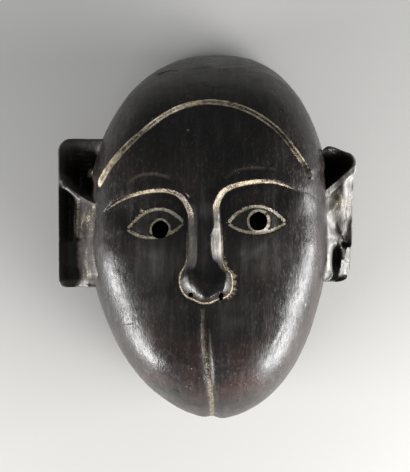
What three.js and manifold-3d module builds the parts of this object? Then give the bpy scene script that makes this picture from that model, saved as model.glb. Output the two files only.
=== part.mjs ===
// A monkey mask carved from one block of dark wood: a hollow shell with a domed skull cap, a lowered
// forehead, arched brows that run down the sides of the nose, pierced almond eyes, a swelling muzzle
// parted by a groove, and two block ears, each scooped out above and below a slanting ridge.
//
// Millimetres. The mask lies on its back rim with its face up: +Z is out of the face, +Y is the crown
// and +X is the viewer's right. The origin is the middle of the bounding box, on the plane of the rim.
import * as THREE from "three";
import { mergeVertices } from "three/addons/utils/BufferGeometryUtils.js";
import Module from "manifold-3d";

const { clamp, lerp, smoothstep } = THREE.MathUtils;
const wasm = await Module();
wasm.setup();

// The outline of the shell, seen from the front.
const HALF_WIDTH = 78.8;
const CROWN_Y = 120.5;
const CHEEK_Y = -9; // where the shell is widest
const CHIN_Y = -128;
const CROWN_ROUNDNESS = 2.35; // exponents of the superellipses above and below the cheeks
const JAW_ROUNDNESS = 1.8;
const BOW = 5.2; // how far the crown and the chin lie to the right of the cheeks' middle

// The dome of the shell.
const POLE_Y = -5; // where the rays of the surface meet
const KEEL = spline([[CHIN_Y, 112], [-80, 111], [-45, 98], [5, 87], [28, 88], [78, 85], [CROWN_Y, 77]]);
const SIDE_EXPONENT = 3.8;
const CROWN_EXPONENT = 2.05;
const JAW_EXPONENT = 3.1;
const CHIN_EXPONENT = 2.5;
const CHIN_TUCK = 13; // how far the rim lies behind the chin
const TUCK_TOP_Z = 52;

// The walls.
const WALL = 10;
const FRONT_THICKNESS = 14;
const RIM_EDGE = 2; // of the worn-off edges of the rim

// The steps and grooves of the face, which fade out over the low part of the shell's sides. A share
// is of a line's length.
const CARVED_FROM_Z = 4;
const CARVED_FULL_Z = 26;
const CAP_STEP = 2.2;
const CAP_BEVEL = 3;
const CAP_FADE = 26;
const CAP_END_SHARE = 0.06;
const BROW_STEP = 3;
const BROW_BEVEL = 2.8;
const BROW_START_SHARE = 0.2;
const BROW_NOSE_SHARE = 0.8; // where a brow begins to turn down into the nose
const BROW_NOSE_LOSS = 0.3; // how much of its step it loses there
const SOCKET_FLAT = 4; // how far below the brow the socket keeps its depth
const SOCKET_HEIGHT = 25;
const CHANNEL = { aboveBrow: 8, halfWidth: 3, depth: 0.6, endShare: 0.3 };
const NOSE = {
  rootY: 22, rootHeight: 0.8, rootAbove: 6, rootBelow: 8,
  tipY: -34, tipHeight: 9,
  bevel: 5.2,
};
const NOSTRILS = [{ x: -11.1, y: -37.6, radius: 1.7 }, { x: 6.9, y: -38.6, radius: 1.8 }];
const NOSTRIL_FLOOR_Z = 93;
const EYES = [
  { x: -32.4, y: 1.8, halfWidth: 17, upper: 9.6, lower: 7.2, tilt: 0.12, hole: [-29.4, -0.6], holeRadius: 5.2 },
  { x: 28.9, y: 5, halfWidth: 17.2, upper: 9, lower: 8.2, tilt: 0.04, hole: [29.6, 4.4], holeRadius: 5.5 },
];
const LID_GROOVE = { depth: 0.9, halfWidth: 1.2 };
const EYE_SET = 1.2;
const EYE_EDGE = 2;
const EYE_BULGE = 1.4;
const CLEFT = { depth: 2.6, topHalfWidth: 3.2, bottomHalfWidth: 4.6, startShare: 0.3 };
const DRILL_SIDES = 20;
const HOLLOW_Z = 40; // a height inside the hollow, where the eye holes start
const ABOVE_FACE_Z = 130;

// The lines that the carver followed, each through a few points, in millimetres from the front.
const HAIRLINE = new CarvedLine(through([
  [-72, 25], [-63, 37], [-45, 55], [-22, 72.6], [-1, 78.5], [20, 74.6], [40, 61.5], [55, 43], [63, 30],
]));
const BROWS = [
  new CarvedLine(through([[-66, 9], [-56, 16.4], [-40, 21.2], [-26, 21.8], [-17.6, 18], [-13.4, 10]])),
  new CarvedLine(through([[58, 21], [46, 26.4], [36, 28.2], [22, 26.6], [10.6, 22.4], [5.6, 13]])),
];
const NOSE_LINE = new CarvedLine(through([
  [-13.4, 10], [-14.3, -7], [-14.8, -20], [-17.4, -29], [-16.6, -37.5], [-9.5, -41.8], [-1, -44],
  [8, -41.8], [14, -37.5], [13.4, -28.5], [9.2, -20], [7.6, -7], [5.6, 13],
], 60));
const CLEFT_LINE = new CarvedLine(through([[-2, -44], [-2, -62], [-0.4, -82], [1.4, -102], [2.4, -122]]));
const LIDS = EYES.map((eye) => new CarvedLine(almond(eye)));

// The ears. Their fronts are scooped out to leave an outer wall and a slanting ridge. A slope is the
// distance over which a hollow reaches its depth, from the wall, the top, the ridge or the bottom.
const EARS = [
  {
    side: -1, topX: 97.2, bottomX: 96.4, topY: 58.2, peak: 0, bottomY: -37.5,
    topCorner: 9, bottomCorner: 3.5, ridgeY: 21.5, ridgeRise: 0.72, ridgeHalf: 1,
    wallSlope: 9, topSlope: 22, aboveRidgeSlope: 8, belowRidgeSlope: 10, bottomSlope: 5,
  },
  {
    side: 1, topX: 96.2, bottomX: 91.8, topY: 49.2, peak: 4, bottomY: -34,
    topCorner: 9, bottomCorner: 9, ridgeY: 25.5, ridgeRise: 0.78, ridgeHalf: 1.6,
    wallSlope: 10, topSlope: 7, aboveRidgeSlope: 6, belowRidgeSlope: 42, bottomSlope: 6,
  },
];
const EAR_WIDTH = 27;
const EAR_ROOT = 5; // how deep an ear's root is in the shell's wall
const EAR_PEAK_AT = 14; // how far in from the outer edge the top is highest
const EAR_PEAK_HALF = 6;
const EAR_BACK_Z = 14;
const EAR_FRONT_Z = 50;
const EAR_WALL = 2.5;
const UPPER_SCOOP = 25;
const LOWER_SCOOP = 23;
const RIDGE_LEAN = 7;
const RIDGE_AT = 0.6; // the share of the way up where the mesh follows the ridge

// The sweep of the shell's surface, from 0 at the front, over the rim, to 1 at the top of the hollow.
const OUTSIDE_END = 0.6;
const RIM_END = 0.7;

// The fineness of the mesh.
const SHELL_COLUMNS = 38;
const SHELL_ROWS = 30;
const FINE_EDGE = 4.1;
const PLAIN_EDGE = 15;
const FINE_BAND = 1;
const SLIDE_REACH = 1.2;
const SLIDE_SHARE = 0.8;
const STEEP = 0.3;
const FOLLOWED = [
  [NOSE_LINE, [0, NOSE.bevel]],
  [LIDS[0], [0]],
  [LIDS[1], [0]],
  [CLEFT_LINE, [-2.4, 0, 2.4]],
  [BROWS[0], [0, BROW_BEVEL]],
  [BROWS[1], [0, -BROW_BEVEL]],
  [HAIRLINE, [-CAP_BEVEL / 2, CAP_BEVEL / 2]],
];
const EAR_ACROSS = [0, 0.2, 0.4, 0.57, 0.7, 0.8, 0.9, 1];
const EAR_ALONG = [0, 0.04, 0.08, 0.15, 0.3, 0.45, 0.55, 0.58, 0.62, 0.67, 0.74, 0.82, 0.9, 0.94, 0.97, 1];
const EAR_DEEP = 2;

// A smooth curve through [x, value] pairs with rising x, as a function of x.
function spline(pairs) {
  const xs = pairs.map(([x]) => x);
  const values = pairs.map(([, value]) => value);
  const slopes = xs.map((x, i) => {
    const before = Math.max(i - 1, 0);
    const after = Math.min(i + 1, xs.length - 1);
    return (values[after] - values[before]) / (xs[after] - xs[before]);
  });
  return (x) => {
    const at = clamp(x, xs[0], xs[xs.length - 1]);
    const i = Math.max(1, xs.findIndex((end) => at <= end)) - 1;
    const h = xs[i + 1] - xs[i];
    const t = (at - xs[i]) / h;
    return (
      (2 * t ** 3 - 3 * t ** 2 + 1) * values[i] +
      (t ** 3 - 2 * t ** 2 + t) * h * slopes[i] +
      (3 * t ** 2 - 2 * t ** 3) * values[i + 1] +
      (t ** 3 - t ** 2) * h * slopes[i + 1]
    );
  };
}

// A carved line: near() gives a point's distance from it, positive on its left as it runs, how far
// along it the nearest place is, from 0 to 1, and the direction to its left there.
function CarvedLine(path) {
  this.near = (x, y) => {
    let off = Infinity;
    let along = 0;
    let left = null;
    for (let i = 1; i < path.length; i += 1) {
      const [a, b] = [path[i - 1], path[i]];
      const [runX, runY] = [b.x - a.x, b.y - a.y];
      const t = clamp(((x - a.x) * runX + (y - a.y) * runY) / (runX ** 2 + runY ** 2), 0, 1);
      const [offX, offY] = [x - a.x - t * runX, y - a.y - t * runY];
      const distance = Math.hypot(offX, offY);
      if (distance < Math.abs(off)) {
        off = runX * offY - runY * offX < 0 ? -distance : distance;
        along = (i - 1 + t) / (path.length - 1);
        left = [-runY / Math.hypot(runX, runY), runX / Math.hypot(runX, runY)];
      }
    }
    return { off, along, left };
  };
}

// A smooth path through a few points.
function through(points, samples = 40) {
  return new THREE.SplineCurve(points.map(([x, y]) => new THREE.Vector2(x, y))).getPoints(samples);
}

// The outline of an eye, along the lower lid and back along the upper one.
function almond(eye, samples = 16) {
  const lid = (u, rise) => {
    const across = u * eye.halfWidth;
    return new THREE.Vector2(eye.x + across, eye.y + eye.tilt * across + rise * lidBow(u));
  };
  const steps = Array.from({ length: samples }, (_, i) => (2 * i) / samples - 1);
  return [...steps.map((u) => lid(u, -eye.lower)), ...steps.map((u) => lid(-u, eye.upper)), lid(-1, 0)];
}

// How far a lid has risen at a share of the eye's half width from its middle.
function lidBow(share) {
  return Math.max(0, 1 - share ** 2) ** 0.85;
}

// 0 at both ends of a line and 1 between, rising over a share of its length.
function ends(along, share) {
  return smoothstep(along, 0, share) * smoothstep(1 - along, 0, share);
}

// A share of a superellipse's half axis from a cosine or sine.
function axisShare(value, roundness) {
  return Math.sign(value) * Math.abs(value) ** (2 / roundness);
}

// A point of the outline at an angle from the +X axis.
function outline(angle) {
  const up = Math.sin(angle);
  const roundness = up < 0 ? JAW_ROUNDNESS : CROWN_ROUNDNESS;
  const height = up < 0 ? CHEEK_Y - CHIN_Y : CROWN_Y - CHEEK_Y;
  const share = axisShare(up, roundness);
  return [HALF_WIDTH * axisShare(Math.cos(angle), roundness) + BOW * share ** 2, CHEEK_Y + height * share];
}

// How square the shell's section is along the ray at an angle: 2 is an ellipse.
function sectionExponent(angle) {
  const up = Math.sin(angle);
  if (up > 0) return lerp(SIDE_EXPONENT, CROWN_EXPONENT, up ** 2);
  const jaw = Math.sin(Math.PI * Math.min(1, -up)) ** 2;
  return lerp(lerp(SIDE_EXPONENT, CHIN_EXPONENT, up ** 2), JAW_EXPONENT, jaw);
}

// The chin rises behind its outline, so that the muzzle overhangs the rim.
function tuck(angle, z) {
  const low = smoothstep(TUCK_TOP_Z - z, 0, TUCK_TOP_Z);
  return CHIN_TUCK * Math.max(0, -Math.sin(angle)) ** 3 * low;
}

// A point of a dome inside the outline by inset and under the keel by sunk. rise runs from 0 at the
// top of the rim's edge to 1 at the pole.
function domePoint(angle, rise, inset, sunk) {
  const exponent = 2 / sectionExponent(angle);
  const reach = Math.cos((rise * Math.PI) / 2) ** exponent;
  const share = Math.sin((rise * Math.PI) / 2) ** exponent;
  const [outX, outY] = outline(angle);
  const kept = 1 - inset / Math.hypot(outX, outY - POLE_Y);
  const x = outX * reach * kept;
  const y = POLE_Y + (outY - POLE_Y) * reach * kept;
  const z = lerp(RIM_EDGE, KEEL(y) - sunk, share);
  return new THREE.Vector3(x, y + tuck(angle, z) * reach, z);
}

// A point of the whole shell. around is the angle, and sweep runs from 0 at the front, over the rim,
// to 1 at the top of the hollow.
function shellPoint(around, sweep) {
  if (sweep <= OUTSIDE_END) return domePoint(around, 1 - sweep / OUTSIDE_END, 0, 0);
  if (sweep >= RIM_END) return domePoint(around, (sweep - RIM_END) / (1 - RIM_END), WALL, FRONT_THICKNESS);
  const across = (sweep - OUTSIDE_END) / (RIM_END - OUTSIDE_END);
  const point = domePoint(around, 0, lerp(RIM_EDGE, WALL - RIM_EDGE, clamp(3 * across - 1, 0, 1)), 0);
  const edge = domePoint(around, 0, across < 0.5 ? 0 : WALL, 0);
  point.z = 0;
  return point.lerp(edge, clamp(3 * Math.abs(across - 0.5) - 0.5, 0, 1));
}

// The signed distance from an eye's almond, positive inside.
function insideEye(eye, x, y) {
  const u = (x - eye.x) / eye.halfWidth;
  if (Math.abs(u) >= 1) return -Math.hypot((Math.abs(u) - 1) * eye.halfWidth, y - eye.y);
  const middle = eye.y + eye.tilt * (x - eye.x);
  const bow = lidBow(u);
  const slant = Math.sqrt(1 + (eye.upper / eye.halfWidth) ** 2 * 4 * u ** 2);
  return Math.min(middle + eye.upper * bow - y, y - middle + eye.lower * bow) / slant;
}

function capStep(x, y) {
  const { off, along } = HAIRLINE.near(x, y);
  const raised = smoothstep(off, -CAP_BEVEL / 2, CAP_BEVEL / 2);
  return CAP_STEP * raised * Math.exp(-((Math.max(0, off) / CAP_FADE) ** 2)) * ends(along, CAP_END_SHARE);
}

// The socket under a brow, and the shallow channel above it.
function browStep(brow, side, x, y) {
  const { off, along } = brow.near(x, y);
  const below = side * off;
  const sunk = smoothstep(below, -BROW_BEVEL, 0) * (1 - smoothstep(below, SOCKET_FLAT, SOCKET_HEIGHT));
  const channel = Math.exp(-(((below + CHANNEL.aboveBrow) / CHANNEL.halfWidth) ** 2));
  const kept = 1 - BROW_NOSE_LOSS * smoothstep(along, BROW_NOSE_SHARE, 1);
  return -BROW_STEP * sunk * smoothstep(along, 0, BROW_START_SHARE) * kept
    - CHANNEL.depth * channel * ends(along, CHANNEL.endShare);
}

// The nose: a flat back that rises to the tip, bevelled down to its outline all round.
function noseHeight(x, y) {
  const down = clamp((NOSE.rootY - y) / (NOSE.rootY - NOSE.tipY), 0, 1);
  const inside = NOSE_LINE.near(x, y).off / NOSE.bevel;
  const rising = smoothstep(NOSE.rootY - y, -NOSE.rootAbove, NOSE.rootBelow);
  return lerp(NOSE.rootHeight, NOSE.tipHeight, down) * rising * clamp(inside, 0, 1);
}

function eyeRelief(x, y) {
  let relief = 0;
  for (const eye of EYES) {
    const inside = insideEye(eye, x, y);
    const bulge = 1 - Math.min(1, Math.hypot(x - eye.x, y - eye.y) / eye.halfWidth) ** 2;
    relief -= LID_GROOVE.depth * Math.exp(-((inside / LID_GROOVE.halfWidth) ** 2));
    relief += smoothstep(inside, 0, EYE_EDGE) * (EYE_BULGE * bulge - EYE_SET);
  }
  return relief;
}

function cleft(x, y) {
  const { off, along } = CLEFT_LINE.near(x, y);
  const half = lerp(CLEFT.topHalfWidth, CLEFT.bottomHalfWidth, along);
  return -CLEFT.depth * Math.exp(-2 * (off / half) ** 2) * smoothstep(along, 0, CLEFT.startShare);
}

// How far the carved face stands out from the plain dome.
function carving(x, y) {
  return (
    capStep(x, y) +
    browStep(BROWS[0], -1, x, y) +
    browStep(BROWS[1], 1, x, y) +
    noseHeight(x, y) +
    eyeRelief(x, y) +
    cleft(x, y)
  );
}

// How near a place is to a carved edge, in millimetres.
function nearestEdge(x, y) {
  return Math.min(...FOLLOWED.map(([line, edges]) => {
    const { off } = line.near(x, y);
    return Math.min(...edges.map((edge) => Math.abs(off - edge)));
  }));
}

// Slides a point of the plain dome most of the way to a carved edge close by, so that the mesh
// follows it. out is the dome's outward direction there.
function slideToEdge(point, out) {
  if (out.z < STEEP) return;
  for (const [line, edges] of FOLLOWED) {
    const { off, left } = line.near(point.x, point.y);
    const edge = edges.find((at) => Math.abs(off - at) < SLIDE_REACH);
    if (edge !== undefined) {
      const move = (edge - off) * SLIDE_SHARE;
      point.x += left[0] * move;
      point.y += left[1] * move;
      point.z -= ((out.x * left[0] + out.y * left[1]) * move) / out.z;
      return;
    }
  }
}

// The corner halfway between two, where a pole takes the other one's angle.
function middleCorner(one, other) {
  const atPole = ([, sweep]) => sweep < 1e-6 || sweep > 1 - 1e-6;
  const [from, to] = [atPole(one) ? other : one, atPole(other) ? one : other];
  return [(from[0] + to[0]) / 2, (one[1] + other[1]) / 2];
}

// Splits the edges of a shell's mesh that are longer than their place allows. Each corner of the mesh
// is an [around, sweep] pair, and a split edge gets a new corner at its middle.
function refine(corners, triangles, longest) {
  const points = corners.map(([around, sweep]) => shellPoint(around, sweep));
  for (;;) {
    const middles = new Map();
    const middleOf = (a, b) => {
      const key = a < b ? a * 1e6 + b : b * 1e6 + a;
      if (!middles.has(key)) {
        const [low, high] = [Math.min(a, b), Math.max(a, b)];
        const corner = middleCorner(corners[low], corners[high]);
        const point = shellPoint(...corner);
        let made = -1;
        if (points[low].distanceTo(points[high]) > longest(point, corner[1])) {
          made = corners.push(corner) - 1;
          points.push(point);
        }
        middles.set(key, made);
      }
      return middles.get(key);
    };
    const split = [];
    for (const [a, b, c] of triangles) {
      const [ab, bc, ca] = [middleOf(a, b), middleOf(b, c), middleOf(c, a)];
      split.push(...splitTriangle([a, b, c], [ab, bc, ca]));
    }
    if (split.length === triangles.length) return { points, triangles };
    triangles = split;
  }
}

// The triangles that replace one whose edges have new middles, or -1 where an edge has none.
function splitTriangle([a, b, c], [ab, bc, ca]) {
  const count = [ab, bc, ca].filter((middle) => middle >= 0).length;
  if (count === 0) return [[a, b, c]];
  if (count === 3) return [[a, ab, ca], [ab, b, bc], [ca, bc, c], [ab, bc, ca]];
  if (ab < 0 || (count === 2 && ca >= 0 && bc < 0)) return splitTriangle([b, c, a], [bc, ca, ab]);
  if (count === 1) return [[a, ab, c], [ab, b, c]];
  return [[ab, b, bc], [a, ab, bc], [a, bc, c]];
}

// The shell, from a sphere whose latitude becomes the sweep from front to hollow.
function carvedShell() {
  const sphere = new THREE.SphereGeometry(1, SHELL_COLUMNS, SHELL_ROWS);
  const uv = sphere.getAttribute("uv");
  const corners = Array.from({ length: uv.count }, (_, i) => [2 * Math.PI * uv.getX(i), 1 - uv.getY(i)]);
  const index = Array.from(sphere.index.array);
  const triangles = [];
  for (let i = 0; i < index.length; i += 3) triangles.push(index.slice(i, i + 3));
  const longest = (point, sweep) => {
    if (sweep > OUTSIDE_END) return 2 * PLAIN_EDGE;
    return clamp(2 * (nearestEdge(point.x, point.y) - FINE_BAND), FINE_EDGE, PLAIN_EDGE);
  };
  const fine = refine(corners, triangles, longest);
  const shell = mergedGeometry(fine.points, fine.triangles);
  shell.computeVertexNormals();
  const position = shell.getAttribute("position");
  const normal = shell.getAttribute("normal");
  const point = new THREE.Vector3();
  const out = new THREE.Vector3();
  for (let i = 0; i < position.count; i += 1) {
    point.fromBufferAttribute(position, i);
    out.fromBufferAttribute(normal, i);
    const outside = out.x * point.x + out.y * (point.y - POLE_Y) + out.z * point.z > 0;
    if (!outside || point.z <= RIM_EDGE) continue;
    slideToEdge(point, out);
    const high = smoothstep(point.z, CARVED_FROM_Z, CARVED_FULL_Z);
    point.addScaledVector(out, carving(point.x, point.y) * high);
    position.setXYZ(i, point.x, point.y, point.z);
  }
  return shell;
}

function mergedGeometry(points, triangles) {
  const geometry = new THREE.BufferGeometry().setFromPoints(points);
  geometry.setIndex(triangles.flat());
  return mergeVertices(geometry, 1e-3);
}

// How far out the plain shell reaches at a place on its side.
function sideReach(side, y, z) {
  const roundness = y > CHEEK_Y ? CROWN_ROUNDNESS : JAW_ROUNDNESS;
  const share = (y - CHEEK_Y) / ((y > CHEEK_Y ? CROWN_Y : CHIN_Y) - CHEEK_Y);
  const half = HALF_WIDTH * (1 - share ** roundness) ** (1 / roundness) + side * BOW * share ** 2;
  return half * (1 - clamp(z / KEEL(y), 0, 1) ** SIDE_EXPONENT) ** (1 / SIDE_EXPONENT);
}

// A hollow's share of its full depth at a distance from its edge.
function scoop(distance, slope) {
  const t = clamp(distance / slope, 0, 1);
  return t * (2 - t);
}

// The height of the ridge's line across an ear, at a distance in from the outer edge.
function ridgeLine(ear, inward) {
  return ear.ridgeY + ear.ridgeRise * (EAR_PEAK_AT - inward);
}

// The top of an ear, at a distance in from the outer edge.
function earTop(ear, inward) {
  return ear.topY + ear.peak * Math.exp(-(((inward - EAR_PEAK_AT) / EAR_PEAK_HALF) ** 2));
}

// The height of an ear's carved front. inward is the distance from the outer edge.
function earFront(ear, inward, y) {
  const fromWall = scoop(inward - EAR_WALL, ear.wallSlope);
  const fromRidge = y - ridgeLine(ear, inward);
  const above = Math.min(
    fromWall,
    scoop(earTop(ear, inward) - EAR_WALL - y, ear.topSlope),
    scoop(fromRidge - ear.ridgeHalf, ear.aboveRidgeSlope),
  );
  const below = Math.min(
    fromWall,
    scoop(y - ear.bottomY - EAR_WALL, ear.bottomSlope),
    scoop(-fromRidge - ear.ridgeHalf, ear.belowRidgeSlope),
  );
  const lean = RIDGE_LEAN * smoothstep(inward, 2, 24);
  return EAR_FRONT_Z - lean - (UPPER_SCOOP - lean) * above - (LOWER_SCOOP - lean) * below;
}

// The value at a share of the way through a list of steps.
function stepped(steps, share) {
  return steps[Math.round(share * (steps.length - 1))];
}

// How far a rounded corner draws the outer edge in, at a distance from the end.
function cornerInset(radius, distance) {
  return radius - Math.sqrt(radius ** 2 - clamp(radius - distance, 0, radius) ** 2);
}

// An ear, from a box whose front face is pushed in.
function carvedEar(ear) {
  const box = new THREE.BoxGeometry(1, 1, 1, EAR_ACROSS.length - 1, EAR_ALONG.length - 1, EAR_DEEP);
  box.deleteAttribute("uv");
  box.deleteAttribute("normal");
  const merged = mergeVertices(box, 1e-3);
  const position = merged.getAttribute("position");
  for (let i = 0; i < position.count; i += 1) {
    const across = stepped(EAR_ACROSS, 0.5 + ear.side * position.getX(i));
    const along = stepped(EAR_ALONG, 0.5 + position.getY(i));
    const front = 0.5 + position.getZ(i);
    const inward = (1 - across) * EAR_WIDTH;
    const topY = earTop(ear, inward);
    const ridge = ridgeLine(ear, inward);
    const y = along < RIDGE_AT
      ? lerp(ear.bottomY, ridge, along / RIDGE_AT)
      : lerp(ridge, topY, (along - RIDGE_AT) / (1 - RIDGE_AT));
    const z = lerp(EAR_BACK_Z, earFront(ear, inward, y), front);
    const outer = lerp(ear.bottomX, ear.topX, along)
      - cornerInset(ear.topCorner, ear.topY - y) - cornerInset(ear.bottomCorner, y - ear.bottomY);
    position.setXYZ(i, ear.side * lerp(sideReach(ear.side, y, z) - EAR_ROOT, outer, across), y, z);
  }
  return merged;
}

// A round cutter along Z, from a height up to above the face.
function drill(x, y, radius, fromZ) {
  const cylinder = new THREE.CylinderGeometry(radius, radius, ABOVE_FACE_Z - fromZ, DRILL_SIDES);
  cylinder.rotateX(Math.PI / 2);
  cylinder.translate(x, y, (fromZ + ABOVE_FACE_Z) / 2);
  return solid(cylinder);
}

// A closed geometry as a manifold-3d solid.
function solid(geometry) {
  const bare = new THREE.BufferGeometry();
  bare.setAttribute("position", geometry.getAttribute("position"));
  bare.setIndex(geometry.index);
  const merged = mergeVertices(bare, 1e-3);
  return new wasm.Manifold(new wasm.Mesh({
    numProp: 3,
    vertProperties: merged.getAttribute("position").array,
    triVerts: new Uint32Array(merged.index.array),
  }));
}

// A manifold-3d solid as a three.js geometry, centred on the middle of its bounding box.
function centred(made) {
  const mesh = made.getMesh();
  const geometry = new THREE.BufferGeometry();
  geometry.setAttribute("position", new THREE.BufferAttribute(mesh.vertProperties, 3));
  geometry.setIndex(new THREE.BufferAttribute(mesh.triVerts, 1));
  geometry.computeBoundingBox();
  const { min, max } = geometry.boundingBox;
  geometry.translate(-(min.x + max.x) / 2, -(min.y + max.y) / 2, -min.z);
  geometry.computeVertexNormals();
  return geometry;
}

function carvedMask() {
  let mask = solid(carvedShell());
  for (const ear of EARS) mask = mask.add(solid(carvedEar(ear)));
  for (const { hole: [x, y], holeRadius } of EYES) mask = mask.subtract(drill(x, y, holeRadius, HOLLOW_Z));
  for (const { x, y, radius } of NOSTRILS) mask = mask.subtract(drill(x, y, radius, NOSTRIL_FLOOR_Z));
  return centred(mask);
}

const wood = new THREE.MeshStandardMaterial({ name: "dark_wood", color: 0x241d1b, roughness: 0.38, metalness: 0 });
const mask = new THREE.Mesh(carvedMask(), wood);
mask.name = "mask";

const model = new THREE.Group();
model.add(mask);

export default model;
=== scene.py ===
"""A monkey mask carved from one block of dark wood, lying on its back rim and seen from above.

The surface is worked out in the carver's frame: millimetres, +Z out of the face, +Y the crown, +X the
viewer's right, with its origin near the middle of the face. It is put into the frame's metres at the end.
"""

import math
from itertools import product

import bpy
import numpy as np
from mathutils.kdtree import KDTree
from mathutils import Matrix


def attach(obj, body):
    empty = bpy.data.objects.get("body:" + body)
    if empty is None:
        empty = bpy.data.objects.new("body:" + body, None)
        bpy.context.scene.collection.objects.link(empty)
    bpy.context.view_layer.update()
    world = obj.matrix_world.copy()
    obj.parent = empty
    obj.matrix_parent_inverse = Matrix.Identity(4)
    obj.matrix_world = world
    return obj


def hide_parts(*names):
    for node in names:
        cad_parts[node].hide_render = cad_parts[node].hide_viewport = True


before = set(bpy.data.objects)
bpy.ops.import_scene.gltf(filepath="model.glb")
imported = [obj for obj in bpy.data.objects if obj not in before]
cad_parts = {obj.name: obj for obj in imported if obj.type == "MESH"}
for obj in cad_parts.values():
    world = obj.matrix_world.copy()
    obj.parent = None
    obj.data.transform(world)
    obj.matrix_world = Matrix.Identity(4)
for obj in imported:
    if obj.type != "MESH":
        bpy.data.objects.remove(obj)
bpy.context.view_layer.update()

MM = 0.001
CARVER_ORIGIN = (1.0136, 0.7548, 0)  # in the frame, in millimetres

# The outline of the shell, seen from the front.
HALF_WIDTH = 78.8
CROWN_Y = 120.5
CHEEK_Y = -9
CHIN_Y = -128
CROWN_ROUNDNESS = 2.35
JAW_ROUNDNESS = 1.8
BOW = 5.2

# The dome of the shell.
POLE_Y = -5
KEEL_POINTS = [(CHIN_Y, 112), (-80, 111), (-45, 98), (5, 87), (28, 88), (78, 85), (CROWN_Y, 77)]
SIDE_EXPONENT = 3.8
CROWN_EXPONENT = 2.05
JAW_EXPONENT = 3.1
CHIN_EXPONENT = 2.5
CHIN_TUCK = 13
TUCK_TOP_Z = 52

# The walls.
WALL = 10
FRONT_THICKNESS = 14
RIM_EDGE = 2
RIM_EDGE_SHARE = 0.25  # of the rim's sweep, for each of its two rounded edges

# The steps and grooves of the face.
CARVED_FROM_Z = 4
CARVED_FULL_Z = 26
CAP_STEP = 2.2
CAP_FADE = 26
CAP_END_SHARE = 0.06
CAP_ROUNDING = 0.5
CAP_FOOT_DEPTH = 0.35
CAP_FOOT_HALF = 0.5
BROW_STEP = 3
BROW_ROUNDING = 0.4
BROW_START_SHARE = 0.2
BROW_NOSE_SHARE = 0.8
BROW_NOSE_LOSS = 0.3
SOCKET_FLAT = 4
SOCKET_HEIGHT = 25
CHANNEL_ABOVE_BROW = 8
CHANNEL_HALF_WIDTH = 3
CHANNEL_DEPTH = 0.6
CHANNEL_END_SHARE = 0.3
NOSE_ROOT_Y = 22
NOSE_ROOT_HEIGHT = 0.8
NOSE_ROOT_FADE = (-6, 8)
NOSE_TIP_Y = -34
NOSE_TIP_HEIGHT = 9
NOSE_TIP_SPAN = (0.17, 0.84)
NOSE_SPAN_SOFT = 0.04
NOSE_BRIDGE_ROUNDING = 0.25
NOSE_TIP_ROUNDING = 0.9
EYE_SET = 1.2
EYE_EDGE = 2
EYE_BULGE = 1.4
CLEFT_DEPTH = 1.7
CLEFT_TOP_HALF_WIDTH = 3.6
CLEFT_BOTTOM_HALF_WIDTH = 5.4
CLEFT_START_SHARE = 0.3

# The nose's wings and the dips above them: a place, a height, a half width and how much longer it is.
NOSE_BUMPS = [
    ((-12.4, -32.5), 1.6, 4.2, 1.25), ((9.2, -33), 1.6, 4.2, 1.25),
    ((-8.6, -26.5), -1.5, 3, 1), ((6.2, -29), -1.5, 3, 1),
]

EYES = [
    {"x": -32.4, "y": 1.8, "half": 17, "upper": 9.6, "lower": 7.2, "tilt": 0.12,
     "hole": (-29.4, -0.6), "hole_half": (5.1, 5.6)},
    {"x": 28.9, "y": 3.6, "half": 17.2, "upper": 9.5, "lower": 6.2, "tilt": 0.01,
     "hole": (29.6, 4.4), "hole_half": (5.4, 5.8)},
]
NOSTRILS = [
    {"place": (-10.8, -39.6), "half": (1.5, 1.6), "lean": 1},
    {"place": (7, -42), "half": (1.5, 3), "lean": 3},
]
EYE_HOLE_SIDES = 48
NOSTRIL_SIDES = 16
NOSTRIL_FLOOR_Z = 87
HOLLOW_Z = 40
ABOVE_FACE_Z = 130

# The sweep of the shell's surface, from 0 at the front, over the rim, to 1 at the top of the hollow.
OUTSIDE_END = 0.6
RIM_END = 0.7

# The fineness of the mesh.
SHELL_COLUMNS = 48
SHELL_ROWS = 40
FINE_EDGE = 0.82
PLAIN_EDGE = 2.8
HOLLOW_EDGE = 4.5
FINE_BAND = 0.6
REFINE_PASSES = 6

FAR = 1e3
FINE_REACH = 8  # how far from a fine cut its distance is worked out
EDGE_KEY_BASE = 10**7  # more than there are points, so that two of them make one key


def clamp(value, low, high):
    return np.minimum(np.maximum(value, low), high)


def lerp(a, b, share):
    return a + (b - a) * share


def ramp(value, low, high):
    """From 0 at low to 1 at high, with smooth ends."""
    t = clamp((value - low) / (high - low), 0, 1)
    return t * t * (3 - 2 * t)


def gauss(value, half):
    return np.exp(-((value / half) ** 2))


def within(value, low, high, soft):
    """1 from low to high and 0 outside, over a soft distance at both ends."""
    return ramp(value, low - soft, low + soft) * (1 - ramp(value, high - soft, high + soft))


def hump(value, rise, fall):
    """0, then 1, then 0 again: it rises over one stretch of values and falls over the other."""
    return ramp(value, *rise) * (1 - ramp(value, *fall))


def ends(along, share):
    """0 at both ends of a line and 1 between, rising over a share of its length."""
    return ramp(along, 0, share) * ramp(1 - along, 0, share)


def away(x, y, place, half_x=1.0, half_y=1.0):
    """The distance from a place, in parts of a size that may differ across and up."""
    return np.hypot((x - place[0]) / half_x, (y - place[1]) / half_y)


def hermite(start, end, start_slope, end_slope, t):
    """A cubic curve from start to end with these slopes there, at the share t of the way."""
    bend = (2 * start - 2 * end + start_slope + end_slope) * t**3
    return bend + (3 * end - 3 * start - 2 * start_slope - end_slope) * t**2 + start_slope * t + start


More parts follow.
